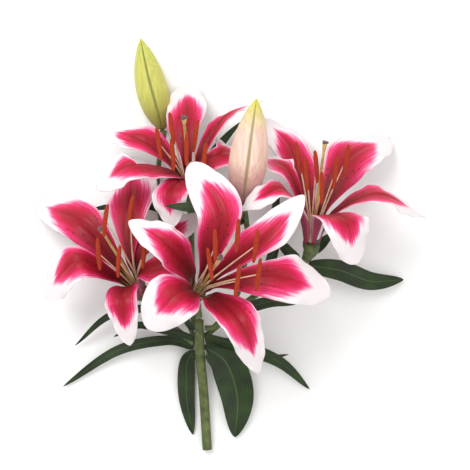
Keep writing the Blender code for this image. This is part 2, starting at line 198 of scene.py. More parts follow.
MAIN_STEM = StalkPlan(
    "main_stem", None, ((-23, -178, 4), (-26, -130, 8), (-29, -96, 16), (-29, -70, 32)), 4.0, 3.4)
STALKS: tuple[StalkPlan, ...] = (
    MAIN_STEM,
    StalkPlan("front_stalk", 1.0, ((-29, -66, 40), (-30, -56, 50), (-30, -46, 62)), 2.4, 7.0),
    StalkPlan("left_stalk", 0.80, ((-40, -84, 17), (-58, -70, 15), (-78, -46, 24)), 2.4, 7.0),
    StalkPlan("top_stalk", 0.90, ((-34, -70, 18), (-35, -45, 10), (-36, -4, 10), (-37, 35, 26)), 2.4, 7.0),
    StalkPlan("right_stalk", 0.86, ((-16, -76, 22), (12, -53, 20), (49, -30, 24), (62, -6, 38)), 2.4, 7.0),
    StalkPlan("large_bud_stalk", 0.94, ((-15, -73, 31), (2, -48, 41), (10, -4, 48), (6, 25, 58)), 2.2, 3.4),
    StalkPlan(
        "small_bud_stalk", 0.83, ((-38, -74, 14), (-54, -29, 8), (-64, 37, 7), (-59, 86, 16)), 2.0, 3.0),
)

BUDS: tuple[BudPlan, ...] = (
    BudPlan("large_bud", (6, 25, 58), (10, 55, 71), (17, 108, 76), 15.8),
    BudPlan("small_bud", (-59, 86, 16), (-70, 126, 14), (-78, 162, 14), 13.5),
)

LEAVES: tuple[LeafPlan, ...] = (
    LeafPlan("leaf_1", "main_stem", 0.93, ((-52, -60, 30), (-100, -65, 26), (-133, -92, 4)), 9),
    LeafPlan("leaf_2", "main_stem", 0.76, ((-57, -87, 10), (-98, -96, 8), (-143, -126, 2)), 12),
    LeafPlan("leaf_3", "main_stem", 0.85, ((-57, -78, 24), (-80, -74, 24), (-100, -84, 16)), 9),
    LeafPlan("leaf_4", "main_stem", 0.70, ((-40, -108, 3), (-40, -136, 2), (-35, -166, 2)), 20),
    LeafPlan("leaf_5", "main_stem", 0.74, ((-7, -106, 12), (2, -134, 6), (0, -168, 3)), 42),
    LeafPlan("leaf_6", "main_stem", 0.82, ((5, -92, 20), (37, -105, 13), (62, -128, 3)), 15),
    LeafPlan("leaf_7", "main_stem", 0.87, ((12, -93, 30), (30, -99, 30), (44, -98, 22)), 8),
    LeafPlan("leaf_8", "large_bud_stalk", 0.30, ((12, -58, 43), (30, -54, 42), (50, -56, 36)), 13),
    LeafPlan("leaf_9", "right_stalk", 0.78, ((86, -29, 26), (112, -38, 16), (140, -37, 3)), 24),
    LeafPlan("bract_1", "right_stalk", 0.78, ((44, -14, 30), (38, -8, 30), (30, -6, 28)), 12),
    LeafPlan("bract_2", "right_stalk", 0.86, ((68, -10, 24), (74, -4, 26), (80, 2, 28)), 12),
    LeafPlan("leaf_10", "top_stalk", 0.55, ((-60, 21, 12), (-88, 25, 10), (-121, 21, 8)), 12),
    LeafPlan("leaf_11", "large_bud_stalk", 0.90, ((-14, 22, 80), (-34, 22, 82), (-55, 23, 80)), 15),
    LeafPlan("leaf_12", "right_stalk", 0.90, ((60, 20, 14), (61, 42, 8), (64, 67, 6)), 14),
    LeafPlan("leaf_13", "right_stalk", 0.50, ((32, -10, 20), (33, 18, 14), (37, 45, 12)), 12),
    LeafPlan("leaf_14", "top_stalk", 0.90, ((-20, 64, 10), (-8, 80, 8), (5, 94, 6)), 11),
)


def smooth(value: Array) -> Array:
    """Ease a value from 0 to 1."""
    value = np.clip(value, 0.0, 1.0)
    return value * value * (3.0 - 2.0 * value)


def unit(vector: Array) -> Array:
    """Scale a vector to length 1."""
    vector = np.asarray(vector, dtype=float)
    return vector / np.linalg.norm(vector)


def even_curve(points: list, count: int) -> Array:
    """Place points at even distances along a smooth curve.

    Args:
        points: Places that the curve goes through.
        count: How many points to return.

    Returns:
        The points, one to a row.
    """
    anchors = np.array(points, dtype=float)
    anchors = np.vstack([2 * anchors[0] - anchors[1], anchors, 2 * anchors[-1] - anchors[-2]])
    step = np.linspace(0.0, 1.0, 24, endpoint=False)[:, None]
    pieces = []
    for before, start, end, after in zip(anchors, anchors[1:], anchors[2:], anchors[3:]):
        linear = (end - before) * step
        square = (2 * before - 5 * start + 4 * end - after) * step ** 2
        cubic = (3 * start - before - 3 * end + after) * step ** 3
        pieces.append(start + 0.5 * (linear + square + cubic))
    dense = np.vstack([*pieces, anchors[-2][None]])
    travelled = np.concatenate([[0.0], np.cumsum(np.linalg.norm(np.diff(dense, axis=0), axis=1))])
    wanted = np.linspace(0.0, travelled[-1], count)
    return np.stack([np.interp(wanted, travelled, dense[:, axis]) for axis in range(3)], axis=1)


def tangents(curve: Array) -> Array:
    """Return the unit direction of a curve at each of its points."""
    direction = np.gradient(curve, axis=0)
    return direction / np.linalg.norm(direction, axis=1)[:, None]


def read_along(values: Array, along: Array) -> Array:
    """Read values that are spread evenly along a midrib, at shares of its length."""
    share = np.linspace(0.0, 1.0, len(values))
    return np.stack([np.interp(along, share, values[:, axis]) for axis in range(3)], axis=-1)


def carried_along(direction: Array, first: Array) -> Array:
    """Carry a normal along a curve without twisting it round the curve.

    Args:
        direction: The curve's unit directions.
        first: The normal to start from.

    Returns:
        A unit normal for each direction.
    """
    normals = [first]
    for ahead in direction:
        normals.append(unit(normals[-1] - normals[-1].dot(ahead) * ahead))
    return np.array(normals[1:])


def linear_colour(code: str) -> tuple[float, float, float, float]:
    """Turn an sRGB hex code into a linear colour with full alpha."""
    channels = [int(code[place:place + 2], 16) / 255.0 for place in (0, 2, 4)]
    linear = [c / 12.92 if c <= 0.04045 else ((c + 0.055) / 1.055) ** 2.4 for c in channels]
    return (*linear, 1.0)


def add_node(tree: bpy.types.NodeTree, kind: str, links: dict | None = None,
             values: dict | None = None, stops: tuple = (), **settings: object) -> bpy.types.Node:
    """Add one shader node.

    Args:
        tree: The material's node tree.
        kind: The node's type name.
        links: Input name or index to the socket that feeds it.
        values: Input name or index to its fixed value.
        stops: Place and colour pairs of a colour ramp.
        settings: The node's own properties.

    Returns:
        The new node.
    """
    node = tree.nodes.new(kind)
    for name, value in settings.items():
        setattr(node, name, value)
    for key, value in (values or {}).items():
        node.inputs[key].default_value = value
    for key, socket in (links or {}).items():
        tree.links.new(socket, node.inputs[key])
    for index, (place, colour) in enumerate(stops):
        ramp = node.color_ramp.elements
        stop = ramp[index] if index < len(ramp) else ramp.new(place)
        stop.position = place
        stop.color = colour
    return node


def start_material(name: str, roughness: float, ior: float) -> tuple:
    """Start a Principled material.

    Args:
        name: The material's name.
        roughness: Roughness of its surface.
        ior: Its index of refraction.

    Returns:
        The material, its node tree and its shader.
    """
    material = bpy.data.materials.new(name)
    material.use_nodes = True
    tree = material.node_tree
    shader = tree.nodes["Principled BSDF"]
    shader.inputs["Roughness"].default_value = roughness
    shader.inputs["IOR"].default_value = ior
    return material, tree, shader


@dataclass(frozen=True)
class PetalSkin:
    """Living petal of crimson and white: velvety cells, fine veins, raised dark freckles, and painted shade
    darkening its throat.
    """

    white: str = "E6DEDF"
    blush: str = "F0B2C8"
    pink: str = "E23C7A"
    rose: str = "CA0845"
    crimson: str = "A00020"
    throat: str = "4E000A"
    # Painted shade: throat is a near-black colour that stands for the shadow inside the flower's throat.
    freckle: str = "5E0016"
    midrib: str = "7A0018"
    nectary: str = "A8A04E"
    back_pale: str = "F0DCE2"
    back_mauve: str = "B3466A"
    back_dark: str = "8A2242"

    def build(self) -> bpy.types.Material:
        """Make the material; it reads the UV map, where V runs from foot to tip."""
        material, tree, shader = start_material("Lily petal skin", 0.48, 1.40)
        uv = add_node(tree, "ShaderNodeUVMap")
        parts = add_node(tree, "ShaderNodeSeparateXYZ", {0: uv.outputs[0]})
        along = parts.outputs["Y"]
        centred = add_node(tree, "ShaderNodeMath", {0: parts.outputs["X"]}, {1: 0.5}, operation="SUBTRACT")
        doubled = add_node(tree, "ShaderNodeMath", {0: centred.outputs[0]}, {1: 2.0}, operation="MULTIPLY")
        across = add_node(tree, "ShaderNodeMath", {0: doubled.outputs[0]}, operation="ABSOLUTE")
        seed = add_node(tree, "ShaderNodeAttribute", attribute_name="petal_seed")
        under = add_node(tree, "ShaderNodeAttribute", attribute_name="underside")
        # Pigment runs in streaks along the veins: about 26 streaks across, a third of the petal long.
        lengthened = add_node(tree, "ShaderNodeMath", {0: along}, {1: 3.2}, operation="MULTIPLY")
        spread = add_node(tree, "ShaderNodeMath", {0: doubled.outputs[0]}, {1: 13.0}, operation="MULTIPLY")
        streak_place = add_node(tree, "ShaderNodeCombineXYZ", {
            0: spread.outputs[0], 1: lengthened.outputs[0], 2: seed.outputs["Fac"]})
        streaks = add_node(tree, "ShaderNodeTexNoise", {"Vector": streak_place.outputs[0]},
                           {"Scale": 1.0, "Detail": 5.0, "Roughness": 0.6})
        wander_place = add_node(tree, "ShaderNodeCombineXYZ", {
            0: doubled.outputs[0], 1: lengthened.outputs[0], 2: seed.outputs["Fac"]})
        wander = add_node(tree, "ShaderNodeTexNoise", {"Vector": wander_place.outputs[0]},
                          {"Scale": 1.2, "Detail": 2.0})
        level = [(value, value, value, 1.0) for value in (1.0, 0.92, 0.84, 0.72, 0.50, 0.0)]
        core_width = add_node(tree, "ShaderNodeValToRGB", {0: along}, stops=(
            (0.0, level[0]), (0.34, level[1]), (0.52, level[2]), (0.66, level[3]),
            (0.78, level[4]), (0.93, level[5])))
        core_room = add_node(tree, "ShaderNodeMath", {0: core_width.outputs[0]}, {1: 1.75, 2: -0.44},
                             operation="MULTIPLY_ADD")
        room = add_node(tree, "ShaderNodeMath", {0: core_room.outputs[0], 1: across.outputs[0]},
                        operation="SUBTRACT")
        # Freckles are about 1.5 mm wide and 4 mm apart, on the lower two thirds.
        place = add_node(tree, "ShaderNodeTexCoord")
        cells = add_node(tree, "ShaderNodeTexVoronoi", {"Vector": place.outputs["Object"]},
                         {"Scale": 1.0 / (4.2 * MM)})
        # Each mask runs from its first value to its second while its source goes from low to high.
        masks = {
            name: add_node(tree, "ShaderNodeMapRange", {"Value": source},
                           {"From Min": low, "From Max": high, "To Min": first, "To Max": second}).outputs[0]
            for name, source, low, high, first, second in (
                ("jitter", streaks.outputs["Fac"], 0.25, 0.75, -0.20, 0.20),
                ("drift", wander.outputs["Fac"], 0.3, 0.7, -0.08, 0.08),
                ("rib", across.outputs[0], 0.015, 0.075, 0.55, 0.0),
                ("rib_fade", along, 0.55, 0.8, 1.0, 0.0),
                ("dot", cells.outputs["Distance"], 0.15, 0.21, 1.0, 0.0),
                ("near", along, 0.56, 0.70, 1.0, 0.0),
                ("sweet", along, 0.10, 0.2, 1.0, 0.0),
                ("sweet_rib", across.outputs[0], 0.15, 0.4, 0.9, 0.0),
            )}
        rough_edge = add_node(tree, "ShaderNodeMath", {0: room.outputs[0], 1: masks["jitter"]},
                              operation="ADD")
        edge = add_node(tree, "ShaderNodeMath", {0: rough_edge.outputs[0], 1: masks["drift"]},
                        operation="ADD")
        pigment = add_node(tree, "ShaderNodeMapRange", {"Value": edge.outputs[0]},
                           {"From Min": -0.16, "From Max": 0.62})
        face = add_node(tree, "ShaderNodeValToRGB", {0: pigment.outputs[0]}, stops=(
            (0.0, linear_colour(self.white)), (0.14, linear_colour(self.blush)),
            (0.34, linear_colour(self.pink)), (0.62, linear_colour(self.rose)),
            (1.0, linear_colour(self.crimson))))
        # Painted shade: towards the foot, where the pigment is strong, the colour darkens past the deep
        # crimson to the throat colour, standing in for the shadow in the throat.
        throat_shadow_depth = add_node(tree, "ShaderNodeMapRange", {"Value": along},
                         {"From Min": 0.14, "From Max": 0.66, "To Min": 0.95, "To Max": 0.0},
                         interpolation_type="SMOOTHSTEP")
        throat_shadow_share = add_node(tree, "ShaderNodeMath", {0: throat_shadow_depth.outputs[0], 1: pigment.outputs[0]},
                        operation="MULTIPLY")
        shaded = add_node(tree, "ShaderNodeMix", {0: throat_shadow_share.outputs[0], 6: face.outputs[0]},
                          {7: linear_colour(self.throat)}, data_type="RGBA")
        rib_share = add_node(tree, "ShaderNodeMath", {0: masks["rib"], 1: masks["rib_fade"]},
                             operation="MULTIPLY")
        ribbed = add_node(tree, "ShaderNodeMix", {0: rib_share.outputs[0], 6: shaded.outputs[2]},
                          {7: linear_colour(self.midrib)}, data_type="RGBA")
        inside = add_node(tree, "ShaderNodeMapRange", {"Value": pigment.outputs[0]},
                          {"From Min": 0.35, "From Max": 0.6})
        dot_near = add_node(tree, "ShaderNodeMath", {0: masks["dot"], 1: masks["near"]},
                            operation="MULTIPLY")
        dot_share = add_node(tree, "ShaderNodeMath", {0: dot_near.outputs[0], 1: inside.outputs[0]},
                             operation="MULTIPLY")
        freckled = add_node(tree, "ShaderNodeMix", {0: dot_share.outputs[0], 6: ribbed.outputs[2]},
                            {7: linear_colour(self.freckle)}, data_type="RGBA")
        sweet_share = add_node(tree, "ShaderNodeMath", {0: masks["sweet"], 1: masks["sweet_rib"]},
                               operation="MULTIPLY")
        upper = add_node(tree, "ShaderNodeMix", {0: sweet_share.outputs[0], 6: freckled.outputs[2]},
                         {7: linear_colour(self.nectary)}, data_type="RGBA")
        back = add_node(tree, "ShaderNodeValToRGB", {0: pigment.outputs[0]}, stops=(
            (0.0, linear_colour(self.white)), (0.25, linear_colour(self.back_pale)),
            (0.62, linear_colour(self.back_mauve)), (1.0, linear_colour(self.back_dark))))
        skin = add_node(tree, "ShaderNodeMix", {
            0: under.outputs["Fac"], 6: upper.outputs[2], 7: back.outputs[0]}, data_type="RGBA")
        tree.links.new(skin.outputs[2], shader.inputs["Base Color"])
        # Veins a few tenths of a millimetre high run from foot to tip, and the freckles stand proud.
        raised = add_node(tree, "ShaderNodeMath", {0: streaks.outputs["Fac"], 1: dot_share.outputs[0]},
                          operation="ADD")
        bump = add_node(tree, "ShaderNodeBump", {"Height": raised.outputs[0]},
                        {"Strength": 0.55, "Distance": 0.5 * MM})
        tree.links.new(bump.outputs[0], shader.inputs["Normal"])
        shader.inputs["Subsurface Weight"].default_value = 0.08
        shader.inputs["Subsurface Radius"].default_value = (1.0, 0.35, 0.3)
        shader.inputs["Subsurface Scale"].default_value = 1.5 * MM
        return material


@dataclass(frozen=True)
class LeafSkin:
    """Waxy lily leaf: dark green, parallel veins a millimetre apart, paler beneath."""

    dark: str = "131F09"
    green: str = "2B4216"
    rib: str = "46602C"
    back: str = "4A6234"

    def build(self) -> bpy.types.Material:
        """Make the material; it reads the UV map, where V runs from foot to tip."""
        material, tree, shader = start_material("Waxy lily leaf", 0.42, 1.42)
        uv = add_node(tree, "ShaderNodeUVMap")
        parts = add_node(tree, "ShaderNodeSeparateXYZ", {0: uv.outputs[0]})
        under = add_node(tree, "ShaderNodeAttribute", attribute_name="underside")
        spread = add_node(tree, "ShaderNodeMath", {0: parts.outputs["X"]}, {1: 2.0 * pi * 13.0},
                          operation="MULTIPLY")
        veins = add_node(tree, "ShaderNodeMath", {0: spread.outputs[0]}, operation="SINE")
        centred = add_node(tree, "ShaderNodeMath", {0: parts.outputs["X"]}, {1: 0.5}, operation="SUBTRACT")
        across = add_node(tree, "ShaderNodeMath", {0: centred.outputs[0]}, operation="ABSOLUTE")
        rib = add_node(tree, "ShaderNodeMapRange", {"Value": across.outputs[0]},
                       {"From Min": 0.01, "From Max": 0.035, "To Min": 0.75, "To Max": 0.0})
        place = add_node(tree, "ShaderNodeTexCoord")
        cloud = add_node(tree, "ShaderNodeTexNoise", {"Vector": place.outputs["Object"]},
                         {"Scale": 1.0 / (18.0 * MM), "Detail": 4.0})
        vein_tone = add_node(tree, "ShaderNodeMapRange", {"Value": veins.outputs[0]},
                             {"From Min": -1.0, "From Max": 1.0, "To Min": -0.12, "To Max": 0.12})
        tone = add_node(tree, "ShaderNodeMath", {0: cloud.outputs["Fac"], 1: vein_tone.outputs[0]},
                        operation="ADD")
        ramp = add_node(tree, "ShaderNodeValToRGB", {0: tone.outputs[0]}, stops=(
            (0.3, linear_colour(self.dark)), (0.75, linear_colour(self.green))))
        ribbed = add_node(tree, "ShaderNodeMix", {0: rib.outputs[0], 6: ramp.outputs[0]},
                          {7: linear_colour(self.rib)}, data_type="RGBA")
        skin = add_node(tree, "ShaderNodeMix", {0: under.outputs["Fac"], 6: ribbed.outputs[2]},
                        {7: linear_colour(self.back)}, data_type="RGBA")
        tree.links.new(skin.outputs[2], shader.inputs["Base Color"])
        bump = add_node(tree, "ShaderNodeBump", {"Height": veins.outputs[0]},
                        {"Strength": 0.35, "Distance": 0.2 * MM})
        tree.links.new(bump.outputs[0], shader.inputs["Normal"])
        return material


@dataclass(frozen=True)
class SpeckledSkin:
    """Plain plant tissue in two tones, mixed by a soft mottle of a given grain in millimetres."""

    name: str
    low: str
    high: str
    grain: float
    roughness: float
    relief: float

    def build(self) -> bpy.types.Material:
        """Make the material, on Object coordinates."""
        material, tree, shader = start_material(self.name, self.roughness, 1.42)
        place = add_node(tree, "ShaderNodeTexCoord")
        mottle = add_node(tree, "ShaderNodeTexNoise", {"Vector": place.outputs["Object"]},
                          {"Scale": 1.0 / (self.grain * MM), "Detail": 5.0, "Roughness": 0.6})
        ramp = add_node(tree, "ShaderNodeValToRGB", {0: mottle.outputs["Fac"]}, stops=(
            (0.32, linear_colour(self.low)), (0.68, linear_colour(self.high))))
        tree.links.new(ramp.outputs[0], shader.inputs["Base Color"])
        bump = add_node(tree, "ShaderNodeBump", {"Height": mottle.outputs["Fac"]},
                        {"Strength": 0.5, "Distance": self.relief * MM})
        tree.links.new(bump.outputs[0], shader.inputs["Normal"])
        return material


@dataclass(frozen=True)
class BudSkin:
    """Closed bud: cream flanks, olive seams, a greener tip and a foot of its own tone."""

    name: str
    foot: str
    flank: str
    tip: str
    seam: str

    def build(self) -> bpy.types.Material:
        """Make the material; it reads the attributes of height and of the three seams."""
        material, tree, shader = start_material(self.name, 0.5, 1.42)
        high = add_node(tree, "ShaderNodeAttribute", attribute_name="bud_height")
        seam = add_node(tree, "ShaderNodeAttribute", attribute_name="bud_seam")
        flank = add_node(tree, "ShaderNodeValToRGB", {0: high.outputs["Fac"]}, stops=(
            (0.02, linear_colour(self.foot)), (0.42, linear_colour(self.flank)),
            (0.70, linear_colour(self.flank)), (0.97, linear_colour(self.tip))))
        line = add_node(tree, "ShaderNodeMapRange", {"Value": seam.outputs["Fac"]},
                        {"From Min": 0.80, "From Max": 1.0, "To Min": 0.0, "To Max": 0.85})
        seamed = add_node(tree, "ShaderNodeMix", {0: line.outputs[0], 6: flank.outputs[0]},
                          {7: linear_colour(self.seam)}, data_type="RGBA")
        place = add_node(tree, "ShaderNodeTexCoord")
        stretch = add_node(tree, "ShaderNodeMapping", {"Vector": place.outputs["Object"]},
                           {"Scale": (1.0 / (1.6 * MM), 1.0 / (30.0 * MM), 1.0 / (1.6 * MM))})
        veins = add_node(tree, "ShaderNodeTexNoise", {"Vector": stretch.outputs[0]},
                         {"Scale": 1.0, "Detail": 3.0})
        tone = add_node(tree, "ShaderNodeMapRange", {"Value": veins.outputs["Fac"]},
                        {"From Min": 0.35, "From Max": 0.7, "To Min": 0.0, "To Max": 0.35})
        veined = add_node(tree, "ShaderNodeMix", {0: tone.outputs[0], 6: seamed.outputs[2]},
                          {7: linear_colour(self.foot)}, data_type="RGBA")
        tree.links.new(veined.outputs[2], shader.inputs["Base Color"])
        bump = add_node(tree, "ShaderNodeBump", {"Height": veins.outputs["Fac"]},
                        {"Strength": 0.4, "Distance": 0.3 * MM})
        tree.links.new(bump.outputs[0], shader.inputs["Normal"])
        return material


def deselect_all() -> None:
    """Deselect every object."""
    bpy.ops.object.select_all(action="DESELECT")


def settle(piece: bpy.types.Object, node: str, material: bpy.types.Material) -> None:
    """Dress a finished piece and tie it to the frame.

    Args:
        piece: The piece, whose mesh is in millimetres without the rest shift.
        node: The CAD node that it stands for.
        material: Its finish.
    """
    places = np.empty(len(piece.data.vertices) * 3)
    piece.data.vertices.foreach_get("co", places)
    places = (places.reshape(-1, 3) + np.array(REST_SHIFT)) * MM
    piece.data.vertices.foreach_set("co", places.ravel())
    piece.data.update()
    piece.data.materials.clear()
    piece.data.materials.append(material)
    piece.data.shade_smooth()
    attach(piece, "root")
    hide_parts(node)
    LOG.info("%s stands for %s", piece.name, node)


def add_blade(name: str, rows: int, columns: int, surface: Surface, thickness: float,
              seed: float) -> bpy.types.Object:
    """Shape a grid as a thin blade with an upper side and an underside.

    Args:
        name: The piece's name.
        rows: Points from foot to tip.
        columns: Points from side to side.
        surface: Places points for (along 0 to 1, across -1 to 1), in millimetres.
        thickness: Thickness in millimetres.
        seed: A number that makes this blade's streaks its own.

    Returns:
        The blade.
    """
    deselect_all()
    bpy.ops.mesh.primitive_grid_add(x_subdivisions=columns - 1, y_subdivisions=rows - 1, size=2.0)
    blade = bpy.context.object
    blade.name = name
    blade.data.name = name
    count = len(blade.data.vertices)
    flat = np.empty(count * 3)
    blade.data.vertices.foreach_get("co", flat)
    flat = flat.reshape(-1, 3)
    blade.data.vertices.foreach_set("co", surface((flat[:, 1] + 1.0) / 2.0, flat[:, 0]).ravel())
    shell = blade.modifiers.new("Thickness", "SOLIDIFY")
    shell.thickness = thickness
    shell.offset = 0.0
    bpy.ops.object.modifier_apply(modifier=shell.name)
    under = blade.data.attributes.new("underside", "FLOAT", "POINT")
    under.data.foreach_set("value", (np.arange(len(blade.data.vertices)) >= count).astype(np.float32))
    own = blade.data.attributes.new("petal_seed", "FLOAT", "POINT")
    own.data.foreach_set("value", np.full(len(blade.data.vertices), seed, dtype=np.float32))
    return blade


def add_tube(name: str, route: Array, radii: Array, resolution: int) -> bpy.types.Object:
    """Make a round tube along a route.

    Args:
        name: The piece's name.
        route: Points in millimetres.
        radii: The radius at each point.
        resolution: The bevel resolution of its section.

    Returns:
        The tube as a closed mesh.
    """
    deselect_all()
    curve = bpy.data.curves.new(name, "CURVE")
    curve.dimensions = "3D"
    curve.bevel_depth = 1.0
    curve.bevel_resolution = resolution
    curve.use_fill_caps = True
    spline = curve.splines.new("POLY")
    spline.points.add(len(route) - 1)
    for point, place, radius in zip(spline.points, route, radii):
        point.co = (*place, 1.0)
        point.radius = radius
    tube = bpy.data.objects.new(name, curve)
    bpy.context.scene.collection.objects.link(tube)
    tube.select_set(True)
    bpy.context.view_layer.objects.active = tube
    bpy.ops.object.convert(target="MESH")
    bpy.ops.object.mode_set(mode="EDIT")
    bpy.ops.mesh.select_all(action="SELECT")
    bpy.ops.mesh.remove_doubles(threshold=1e-4)
    bpy.ops.mesh.normals_make_consistent(inside=False)
    bpy.ops.object.mode_set(mode="OBJECT")
    return bpy.context.object


def add_ball(name: str, segments: int, rings: int, shape: Callable[[Array], Array]) -> bpy.types.Object:
    """Shape a ball's points.

    Args:
        name: The piece's name.
        segments: Points round it.
        rings: Rings from pole to pole.
        shape: Turns the unit ball's points into the piece's, in millimetres.

    Returns:
        The shaped ball.
    """
    deselect_all()
    bpy.ops.mesh.primitive_uv_sphere_add(segments=segments, ring_count=rings, radius=1.0)
    ball = bpy.context.object
    ball.name = name
    ball.data.name = name
    places = np.empty(len(ball.data.vertices) * 3)
    ball.data.vertices.foreach_get("co", places)
    ball.data.vertices.foreach_set("co", shape(places.reshape(-1, 3)).ravel())
    return ball


@dataclass
class Flower:
    """An open flower: six petals, a pistil and six stamens."""

    plan: FlowerPlan
    petal_rows: int = 110
    petal_columns: int = 41
    petal_thickness: float = 0.7
    foot_half_width: float = 1.9
    ruffle_height: float = 2.1
    groove_depth: float = 1.1
    groove_half_width: float = 1.7
    pleat_height: float = 0.5
    pleat_place: float = 4.2
    style_radius: float = 1.15
    stigma_radius: float = 3.0
    filament_radius: float = 0.7
    filament_points: int = 40
    filament_ring_radius: float = 3.0
    filament_ring_height: float = 1.4
    anther_length: float = 26.0
    anther_radius: float = 1.9
    anther_bend: float = 1.4

    def __post_init__(self) -> None:
        """Work out the flower's axis and two directions across it."""
        self.base = np.array(self.plan.base, dtype=float)
        self.axis = unit(np.array(self.plan.stigma) - self.base)
        self.first = unit(np.cross(self.axis, (0.0, 0.0, 1.0)))
        self.second = np.cross(self.axis, self.first)

    def azimuths(self, points: Array) -> Array:
        """Return the angles of points round the flower's axis."""
        offsets = np.asarray(points, dtype=float) - self.base
        return np.arctan2(offsets @ self.second, offsets @ self.first)

    def sector(self, petal: PetalPlan) -> tuple[float, float, float]:
        """Find the part of the throat that a petal may fill.

        Args:
            petal: The petal's plan.

        Returns:
            Its angle round the axis, and the room before and after it, in radians.
        """
        angles = self.azimuths([item.shoulder for item in self.plan.petals])
        own = self.azimuths([petal.shoulder])[0]
        apart = np.sort((angles - own) % (2.0 * pi))
        return own, (2.0 * pi - apart[-1]) / 2.0, apart[1] / 2.0

    def petal_surface(self, petal: PetalPlan, seed: float) -> Surface:
        """Return the function that places points of a petal.

        Args:
            petal: The petal's plan.
            seed: A number that makes its ruffles its own.

        Returns:
            A function of shares along and across the petal.
        """
        base, axis = self.base, self.axis
        outward = np.array(petal.shoulder) - base
        outward = unit(outward - outward.dot(axis) * axis)
        throat = zip(THROAT_HEIGHTS, petal.whorl.throat_radii)
        midrib = [base + height * axis + radius * outward for height, radius in throat]
        spine = even_curve([*midrib, petal.shoulder, petal.tip], SPINE_SAMPLES)
        direction = tangents(spine)
        facing = carried_along(direction, -outward)
        flank = np.cross(direction, facing)
        share = np.linspace(0.0, 1.0, SPINE_SAMPLES)
        rise, fall = petal.whorl.rise, petal.whorl.fall
        widest = rise / (rise + fall)
        peak = widest ** rise * (1.0 - widest) ** fall

        def free_place(along: Array, across: Array) -> Array:
            """Place points, for shares along and across, with no regard to the neighbours."""
            point = read_along(spine, along)
            outline = along ** rise * (1.0 - along) ** fall / peak
            half_width = petal.width / 2.0 * outline + self.foot_half_width * (1.0 - along) ** 2
            turn = radians(petal.turn) * smooth((along - 0.15) / 0.45)[..., None]
            flat = read_along(flank, along)
            front = read_along(facing, along)
            side = np.cos(turn) * flat + np.sin(turn) * front
            normal = np.cos(turn) * front - np.sin(turn) * flat
            cup = petal.cup * (1.0 - 1.3 * smooth(along / 0.9))
            offset = half_width * across
            wave = np.sin(2.0 * pi * (3.6 * along + 0.37 * seed + 0.3 * np.sign(across)))
            wave += 0.5 * np.sin(2.0 * pi * (8.3 * along + 0.61 * seed + 0.2 * across))
            free_margin = smooth((along - 0.35) / 0.3) * (1.0 - 0.4 * along)
            ruffle = self.ruffle_height * wave * free_margin * across ** 4
            groove = self.groove_depth * np.exp(-(offset / self.groove_half_width) ** 2)
            groove *= smooth(along / 0.2) * (1.0 - smooth((along - 0.55) / 0.4))
            pleats = self.pleat_height * np.exp(-((np.abs(offset) - self.pleat_place) / 2.0) ** 2)
            pleats *= smooth(along / 0.3) * (1.0 - smooth((along - 0.6) / 0.3))
            lift = cup * half_width * across ** 2 + ruffle - groove + pleats
            blade = point + offset[..., None] * side + lift[..., None] * normal
            height = ((point - base) @ axis)[..., None] * axis
            radial = point - base - height
            radius = np.linalg.norm(radial, axis=-1)[..., None]
            angle = -offset[..., None] / radius
            around = np.cross(axis, radial / radius)
            cone = base + height + np.cos(angle) * radial + radius * np.sin(angle) * around
            blend = smooth((along - 0.12) / 0.4)[..., None]
            return (1.0 - blend) * cone + blend * blade

        own, room_before, room_after = self.sector(petal)
        limits = []
        for edge in (-1.0, 1.0):
            best = np.full(SPINE_SAMPLES, 0.05)
            for scale in np.linspace(0.05, 1.0, 39):
                points = free_place(share, np.full(SPINE_SAMPLES, edge * scale))
                swing = (self.azimuths(points) - own + pi) % (2.0 * pi) - pi
                offsets = points - base
                radius = np.linalg.norm(offsets - (offsets @ axis)[:, None] * axis, axis=1)
                keep = SECTOR_GAP / radius
                inside = (swing < room_after - keep) & (swing > keep - room_before)
                best = np.where(inside | (share > SECTOR_END), np.maximum(best, scale), best)
            lowest = [best[max(0, k - 4):k + 5].min() for k in range(SPINE_SAMPLES)]
            padded = np.pad(lowest, 4, mode="edge")
            limits.append(np.convolve(padded, np.full(9, 1.0 / 9.0), mode="valid"))

        def place(along: Array, across: Array) -> Array:
            """Place points, for shares along and across, inside the petal's own sector."""
            before = np.interp(along, share, limits[0])
            after = np.interp(along, share, limits[1])
            return free_place(along, across * np.where(across < 0.0, before, after))

        return place

    def build_petals(self, material: bpy.types.Material) -> None:
        """Make the six petals.

        Args:
            material: Their skin.
        """
        for index, petal in enumerate(self.plan.petals):
            name = f"{self.plan.name}_{petal.side}_petal"
            seed = float(index) + 0.13 * len(self.plan.name) + abs(self.base[0]) * 0.07
            blade = add_blade(f"{name}_blade", self.petal_rows, self.petal_columns,
                              self.petal_surface(petal, seed), self.petal_thickness, seed)
            settle(blade, name, material)

    def build_pistil(self, style: bpy.types.Material, stigma: bpy.types.Material) -> None:
        """Make the ovary with its style, and the three-lobed stigma.

        Args:
            style: The finish of the ovary and the style.
            stigma: The stigma's finish.
        """
        node = f"{self.plan.name}_pistil"
        length = np.linalg.norm(np.array(self.plan.stigma) - self.base)
        share = np.linspace(0.0, 1.0, 60)
        heights = SEAT_GAP + share * (length - SEAT_GAP - 0.5)
        radii = self.style_radius + 0.75 * (1.0 - smooth((heights - 16.0) / 10.0))
        radii += 0.9 * smooth((heights - length + 9.0) / 8.0)
        route = self.base + heights[:, None] * self.axis
        settle(add_tube(f"{node}_style", route, radii, 5), node, style)

        def lobes(ball: Array) -> Array:
            """Flatten a ball into three lobes with a dimple at the middle."""
            angle = np.arctan2(ball[:, 1], ball[:, 0])
            ring = np.hypot(ball[:, 0], ball[:, 1])
            reach = self.stigma_radius * ring * (0.86 + 0.16 * np.cos(3.0 * angle))
            high = length + 1.15 * ball[:, 2] - 0.5 * (1.0 - ring) * (ball[:, 2] > 0.0)
            sideways = np.cos(angle)[:, None] * self.first + np.sin(angle)[:, None] * self.second
            return self.base + reach[:, None] * sideways + high[:, None] * self.axis

        settle(add_ball(f"{node}_stigma", 36, 18, lobes), node, stigma)

